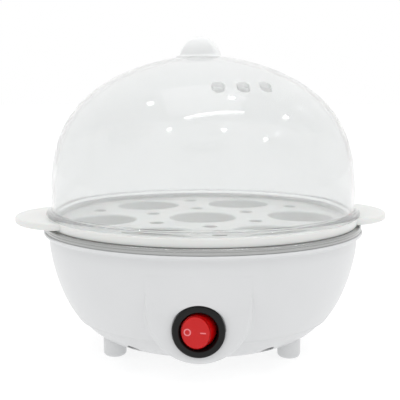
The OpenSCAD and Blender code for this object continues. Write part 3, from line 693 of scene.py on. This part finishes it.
STEM_R, STEM_BORE = 2.5, 1.55
stem = turned([(0, CAP - 1), (STEM_R, CAP - 1), (STEM_R, -4.5), (STEM_BORE, -4.5),
               (STEM_BORE, 3.5), (0, 3.5)], 48)
pins = [moved(turned([(0, 6.9), (1.2, 6.9), (1.2, 8.9), (1.0, 9.1), (0, 9.1)], 32),
              Matrix.Rotation(math.radians(turn), 4, "X")) for turn in (-90, 90)]
cap = make("rocker_cap", ovalled(turned(cap_outline, 128)), red_pc)
ring_outline = [(1.1, -0.15), (1.6, -0.15), (1.6, 1), (1.1, 1)]
ring_mark = moved(turned(ring_outline, 48), shifted(-3.55, 0, CAP))
dash_mark = bmesh.new()
bmesh.ops.create_cube(dash_mark, size=1.0)
moved(dash_mark, shifted(3.35, 0, CAP + 0.35) @ Matrix.Diagonal((2.5 * MM, 0.5 * MM, MM, 1)))
carved(cap, [make("scratch", ring_mark, mark_ink), make("scratch", dash_mark, mark_ink)])
finishes_of_cap = list(cap.data.materials)
rocker_mesh = moved(joined(taken(cap), stem, *pins), AT_PIVOT @ TO_FRONT)
rocker = make("rocker_moulding", rocker_mesh, finishes_of_cap[0])
for material in finishes_of_cap[1:]:
    rocker.data.materials.append(material)
attach(rocker, "rocker", "red_polycarbonate", "rocker")

# %% [markdown]
# ## Plunger spring
# A small coil spring inside the cap's stem pushes the plunger out. A spiral curve with a round wire
# is what a spring is, so Geometry Nodes make it from its turns, its radius and its length.


# %% Spring
def coil_rule():
    """A tree that winds a round wire into a coil spring along Z."""
    tree = bpy.data.node_groups.new("coil_rule", "GeometryNodeTree")
    for name in ("Turns", "Radius", "Length", "Wire radius"):
        tree.interface.new_socket(name, in_out="INPUT", socket_type="NodeSocketFloat")
    tree.interface.new_socket("Finish", in_out="INPUT", socket_type="NodeSocketMaterial")
    tree.interface.new_socket("Spring", in_out="OUTPUT", socket_type="NodeSocketGeometry")
    given = add(tree, "NodeGroupInput").outputs
    path = add(tree, "GeometryNodeCurveSpiral", {
        "Resolution": 24, "Rotations": given["Turns"], "Start Radius": given["Radius"],
        "End Radius": given["Radius"], "Height": given["Length"]})
    section = add(tree, "GeometryNodeCurvePrimitiveCircle", {
        "Resolution": 12, "Radius": given["Wire radius"]})
    wound = add(tree, "GeometryNodeCurveToMesh", {
        "Curve": path.outputs["Curve"], "Profile Curve": section.outputs["Curve"],
        "Fill Caps": True})
    real = add(tree, "GeometryNodeRealizeInstances", {"Geometry": wound.outputs["Mesh"]})
    coated = add(tree, "GeometryNodeSetMaterial", {
        "Geometry": real.outputs["Geometry"], "Material": given["Finish"]})
    add(tree, "NodeGroupOutput", {"Spring": coated.outputs["Geometry"]})
    return tree


SPRING_SEAT, SPRING_LENGTH, PLUNGER_TRAVEL = -3.2, 5.5, 0.8
spring = grown(make("plunger_spring_coil", bmesh.new(), zinc), coil_rule(), {
    "Turns": 5.0, "Radius": 1.1 * MM, "Length": SPRING_LENGTH * MM, "Wire radius": 0.2 * MM,
    "Finish": zinc}, 60)
AT_SEAT = AT_PIVOT @ TO_BACK @ shifted(z=SPRING_SEAT)
spring.data.transform(AT_SEAT)
attach(spring, "rocker", "zinc_plated_steel", "plunger_spring")
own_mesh(spring)

# %% [markdown]
# ## Egg tray
# The tray is moulded in white polypropylene. A flat curve with holes, filled and given a small bevel,
# makes the deck with rounded hole edges at once, and the same way makes the two ears. The rim is
# turned, and Geometry Nodes repeat one egg cup round the axis for the six outer seats.


# %% Flat plates from outlines
def plate(outlines, low, high, bevel, material):
    """A bmesh of a flat plate in mm: the first outline is its edge and the others are holes."""
    curve = bpy.data.curves.new("plate", "CURVE")
    curve.dimensions, curve.fill_mode = "2D", "BOTH"
    curve.extrude = ((high - low) / 2 - bevel) * MM
    curve.bevel_depth, curve.bevel_resolution, curve.offset = bevel * MM, 3, -bevel * MM
    for outline in outlines:
        spline = curve.splines.new("POLY")
        spline.points.add(len(outline) - 1)
        for point, (x, y) in zip(spline.points, outline):
            point.co = (x * MM, y * MM, 0, 1)
        spline.use_cyclic_u = True
    obj = bpy.data.objects.new("scratch", curve)
    bpy.context.collection.objects.link(obj)
    depsgraph = bpy.context.evaluated_depsgraph_get()
    mesh = bpy.data.meshes.new_from_object(obj.evaluated_get(depsgraph))
    built = bmesh.new()
    built.from_mesh(mesh)
    bpy.data.objects.remove(obj)
    bmesh.ops.remove_doubles(built, verts=built.verts, dist=1e-6)
    bmesh.ops.recalc_face_normals(built, faces=built.faces)
    return moved(built, shifted(z=(low + high) / 2))


def circle(x, y, r, steps):
    """Points of a circle in the plane."""
    return [(x + r * math.cos(2 * math.pi * i / steps), y + r * math.sin(2 * math.pi * i / steps))
            for i in range(steps)]


def on_ring(r, degrees):
    """Place on a circle round the axis."""
    return r * math.cos(math.radians(degrees)), r * math.sin(math.radians(degrees))


# %% Deck, cups, rim and ears
TRAY_TOP, DECK_Z, SEAT_PITCH, SEAT_R = RIM_Z + 7.4, RIM_Z + 5.4, 50.0, 16.0
seats = [(0, 0)] + [on_ring(SEAT_PITCH, 60 * i) for i in range(6)]
steam_holes = [on_ring(r, 30 + 60 * i) for r in (28, 59.5) for i in range(6)]
deck = plate(
    [circle(0, 0, 75.4, 160)]
    + [circle(x, y, SEAT_R + 0.9, 72) for x, y in seats]
    + [circle(x, y, 3.5, 32) for x, y in steam_holes],
    DECK_Z - 2, DECK_Z, 0.35, white_pp)
cup_outline = (
    arc(SEAT_R + 1.3, DECK_Z - 1.0, 1.0, 90, 180, 6)
    + [(SEAT_R - 1.9, DECK_Z - 6.2)]
    + arc(SEAT_R - 1.3, DECK_Z - 6.0, 0.5, 190, 350, 6)
    + [(SEAT_R + 1.3, DECK_Z - 1.8)]
)
cup = turned(cup_outline, 72)
centre_cup = turned(cup_outline, 72)
cups = repeated(moved(cup, shifted(SEAT_PITCH)), white_pp, 6, 0, 60)
rim_outline = (
    [(75.2, DECK_Z - 2), (75.2, FLANGE_Z)]
    + arc(76.0, FLANGE_Z + 0.4, 0.4, -90, 0, 4)
    + arc(76.0, TRAY_TOP - 1.0, 1.0, 0, 90, 8)
    + [(75.3, TRAY_TOP), (75.3, DECK_Z - 0.2)]
)
rim = turned(rim_outline, 240)
SPIGOT_IN, SPIGOT_OUT = 68.2, 69.8
spigot_outline = [
    (SPIGOT_IN, RIM_Z + 0.6), (SPIGOT_IN + 0.3, RIM_Z + 0.3), (SPIGOT_OUT - 0.3, RIM_Z + 0.3),
    (SPIGOT_OUT, RIM_Z + 0.6), (SPIGOT_OUT, DECK_Z - 1.8), (SPIGOT_IN, DECK_Z - 1.8)]
spigot = turned(spigot_outline, 200)

EAR_CENTRE, EAR_REACH, EAR_HALF, EAR_INNER = 66.0, 92.8, 32.0, 75.8
ear_edge = [(EAR_CENTRE + (EAR_REACH - EAR_CENTRE) * math.cos(a), EAR_HALF * math.sin(a))
            for a in (math.radians(-90 + 180 * i / 96) for i in range(97))]
ear_edge = [p for p in ear_edge if math.hypot(*p) > EAR_INNER + 0.1]
half_angle = math.degrees(math.atan2(ear_edge[-1][1], ear_edge[-1][0]))
ear_edge += [on_ring(EAR_INNER, half_angle - 2 * half_angle * i / 40) for i in range(41)]
ears = repeated(plate([ear_edge], RIM_Z + 4, TRAY_TOP, 1.0, white_pp), white_pp, 2, 0, 180)

TRAY_TURN = 8.5
tray_mesh = moved(joined(deck, cups, centre_cup, rim, spigot, ears), around_z(TRAY_TURN))
tray = make("egg_tray_moulding", tray_mesh, white_pp)
attach(tray, "egg_tray", "white_pp", "egg_tray")

# %% [markdown]
# ## Lid
# The dome is moulded in clear polystyrene, 2 mm thick. Its outline is one rule, a superellipse that
# is steep at the foot and flat on top, so Geometry Nodes bend a grid by that rule, once for the outer
# skin and once for the inner. The handle is a hollow tongue that is fused to the dome. It is frosted,
# and so are the walls of the three steam holes.


# %% Geometry Nodes for the dome's rule
def dome_rule():
    """A tree that wraps a unit grid into a superellipse of revolution."""
    tree = bpy.data.node_groups.new("dome_rule", "GeometryNodeTree")
    for name in ("Radius", "Foot", "Rise", "Side power", "Top power"):
        tree.interface.new_socket(name, in_out="INPUT", socket_type="NodeSocketFloat")
    for name in ("Rings", "Steps"):
        tree.interface.new_socket(name, in_out="INPUT", socket_type="NodeSocketInt")
    tree.interface.new_socket("Finish", in_out="INPUT", socket_type="NodeSocketMaterial")
    tree.interface.new_socket("Dome", in_out="OUTPUT", socket_type="NodeSocketGeometry")
    given = add(tree, "NodeGroupInput").outputs

    def value(operation, *inputs):
        node = add(tree, "ShaderNodeMath", operation=operation)
        for socket, source in zip(node.inputs, inputs):
            if isinstance(source, bpy.types.NodeSocket):
                tree.links.new(source, socket)
            else:
                socket.default_value = source
        return node.outputs["Value"]

    grid = add(tree, "GeometryNodeMeshGrid", {
        "Vertices X": given["Rings"], "Vertices Y": given["Steps"]})
    position = add(tree, "GeometryNodeInputPosition").outputs["Position"]
    at = add(tree, "ShaderNodeSeparateXYZ", {"Vector": position})
    rise_angle = value("MULTIPLY", value("ADD", at.outputs["X"], 0.5), math.pi / 2)
    turn_angle = value("MULTIPLY", at.outputs["Y"], 2 * math.pi)
    cosine = value("MAXIMUM", value("COSINE", rise_angle), 0.0)
    sine = value("MAXIMUM", value("SINE", rise_angle), 0.0)
    inwards = value("POWER", cosine, given["Side power"])
    upwards = value("POWER", sine, given["Top power"])
    radius = value("MULTIPLY", given["Radius"], inwards)
    spot = add(tree, "ShaderNodeCombineXYZ", {
        "X": value("MULTIPLY", radius, value("COSINE", turn_angle)),
        "Y": value("MULTIPLY", radius, value("SINE", turn_angle)),
        "Z": value("MULTIPLY_ADD", given["Rise"], upwards, given["Foot"])})
    bent = add(tree, "GeometryNodeSetPosition", {
        "Geometry": grid.outputs["Mesh"], "Position": spot.outputs["Vector"]})
    welded = add(tree, "GeometryNodeMergeByDistance", {
        "Geometry": bent.outputs["Geometry"], "Distance": 2e-6})
    real = add(tree, "GeometryNodeRealizeInstances", {"Geometry": welded.outputs["Geometry"]})
    coated = add(tree, "GeometryNodeSetMaterial", {
        "Geometry": real.outputs["Geometry"], "Material": given["Finish"]})
    add(tree, "NodeGroupOutput", {"Dome": coated.outputs["Geometry"]})
    return tree


DOME = dome_rule()
LID_R, LID_Z, LID_TOP, LID_WALL = 75.3, RIM_Z + 6.1, 144.6, 2.0


def dome_skin(inset):
    """A bmesh of the dome's skin, moved in by inset mm."""
    skin = taken(grown(make("scratch", bmesh.new(), clear_ps), DOME, {
        "Radius": (LID_R - inset) * MM, "Foot": LID_Z * MM, "Rise": (LID_TOP - LID_Z - inset) * MM,
        "Side power": 2 / 1.76, "Top power": 2 / 3.26, "Rings": 56, "Steps": 161,
        "Finish": clear_ps}))
    for face in skin.faces:
        face.material_index = 0
    return skin


# %% Dome wall and its flange
wall = joined(dome_skin(0), dome_skin(LID_WALL))
foot_ring = [v for v in wall.verts if v.co.z < (LID_Z + 0.1) * MM]
foot_ring.sort(key=lambda v: (v.co.xy.length < (LID_R - 1) * MM, math.atan2(v.co.y, v.co.x)))
half = len(foot_ring) // 2
for i in range(half):
    j = (i + 1) % half
    wall.faces.new((foot_ring[i], foot_ring[j], foot_ring[half + j], foot_ring[half + i]))
for vert in wall.verts:
    if vert.co.z < (TRAY_TOP - 0.5) * MM and vert.co.xy.length > (LID_R - 1) * MM:
        vert.co.xy *= (LID_R - 0.4) / LID_R
bmesh.ops.recalc_face_normals(wall, faces=wall.faces)
flange = turned(
    [(74.3, TRAY_TOP + 0.15), (75.8, TRAY_TOP + 0.05)]
    + arc(76.9, TRAY_TOP + 0.85, 0.8, -90, 0, 6)
    + arc(76.9, TRAY_TOP + 1.4, 0.8, 0, 90, 6)
    + arc(76.3, TRAY_TOP + 3.1, 0.9, 270, 185, 6)
    + [(74.3, TRAY_TOP + 3.4)], 240)

# %% Handle and steam holes
HANDLE_TOP, HANDLE_FOOT, FLARE = 153.9, LID_TOP - 2.5, 1.2
HANDLE_HALF_W, HANDLE_HALF_T = 10.1, 4.6
HANDLE_WALL, HANDLE_SHIFT, HANDLE_TURN = 1.8, -1.3, -15


def tongue(heights, inset, flare_from=None, corner=1.3):
    """A bmesh of a tongue whose width and thickness shrink upwards by their own powers."""
    built = bmesh.new()
    rows = []
    top = HANDLE_TOP - inset
    for z in heights:
        t = min(max((z - HANDLE_FOOT) / (top - HANDLE_FOOT), 0), 1)
        half_w = (HANDLE_HALF_W - inset) * math.sqrt(1 - t**1.5)
        half_t = (HANDLE_HALF_T - inset) * math.sqrt(1 - t**3)
        if flare_from is not None:
            below = min(max(1 - (z - flare_from) / FLARE, 0), 1)
            spread = FLARE * (1 - math.sqrt(1 - below * below))
            half_w, half_t = half_w + spread, half_t + spread
        c = min(corner, 0.9 * min(half_w, half_t))
        row = []
        for k, (sx, sy) in enumerate(((1, 1), (-1, 1), (-1, -1), (1, -1))):
            for a in (math.radians(90 * k + 15 * i) for i in range(7)):
                x, y = sx * (half_w - c) + c * math.cos(a), sy * (half_t - c) + c * math.sin(a)
                row.append(built.verts.new((x * MM, y * MM, z * MM)))
        rows.append(row)
    for low, high in zip(rows, rows[1:]):
        for i in range(len(low)):
            j = (i + 1) % len(low)
            built.faces.new((low[i], low[j], high[j], high[i]))
    built.faces.new(rows[0][::-1])
    built.faces.new(rows[-1])
    bmesh.ops.recalc_face_normals(built, faces=built.faces)
    return moved(built, shifted(HANDLE_SHIFT) @ around_z(HANDLE_TURN))


def rising(low, high, step, steps):
    """Heights from low to high that get closer upwards; step is an angle in degrees."""
    return [low + (high - low) * math.sin(math.radians(step * k)) for k in steps]


flare_start = LID_TOP - 0.6
flare_rows = [flare_start - 0.6] + [flare_start + FLARE * k / 6 for k in range(7)]
handle_rows = flare_rows + rising(flare_rows[-1], HANDLE_TOP, 3, range(1, 30))
hollow_rows = [LID_TOP - 4] + rising(LID_TOP - 2.4, HANDLE_TOP - HANDLE_WALL, 4.5, range(20))
handle = make("scratch", tongue(handle_rows, 0, flare_start), frosted_ps)
hollow = make("scratch", tongue(hollow_rows, HANDLE_WALL, corner=0.8), frosted_ps)
lid = make("lid_moulding", wall, clear_ps)
carved(lid, [make("scratch", flange, clear_ps), handle], "UNION")

VENT_RING, VENT_R, VENT_SQUASH, VENT_START, VENT_STEP = 50, 3.0, 0.75, 9, 13
vents = []
for i in range(3):
    vent = turned([(0, 110), (VENT_R, 110), (VENT_R, 150), (0, 150)], 48)
    place = around_z(VENT_START + VENT_STEP * i - 90) @ shifted(VENT_RING)
    moved(vent, place @ Matrix.Diagonal((VENT_SQUASH, 1, 1, 1)))
    vents.append(make("scratch", vent, frosted_ps))
carved(lid, [hollow] + vents)
lid.visible_shadow = False
attach(lid, "lid", "clear_polystyrene", "lid")

# %% [markdown]
# ## Pieces that keep their CAD shape
# The heater, the wiring and the screws already have their real shape in the CAD model, and most of
# them sit inside the housing. They only need the finish of the real part.

# %% Finishes of the CAD pieces
finishes = {
    zinc: ("cover_screws", "dish_studs", "stud_nuts", "dish_clips", "clip_screws",
           "thermostat_bracket", "fuse_clip", "plate_screws", "clamp_screws", "tube_terminals",
           "plunger"),
    aluminium: ("heater_plate",),
    sheath: ("heating_tube",),
    silicone: ("dish_gasket",),
    phenolic: ("thermostat",),
    glass_braid: ("fuse_sleeve", "spade_connectors"),
    brass: ("thermal_fuse", "terminal_screws", "switch_terminals", "contact_bridge"),
    nylon: ("terminal_block", "cord_clamp"),
    neon: ("indicator_lamp",),
    brown_pvc: ("live_wire",),
    red_pvc: ("switched_wire", "fuse_wires"),
    blue_pvc: ("lamp_wire", "neutral_wire"),
}
for material, names in finishes.items():
    for name in names:
        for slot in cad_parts[name].material_slots:
            slot.material = material
    print(f"{material.name}: {', '.join(names)}")
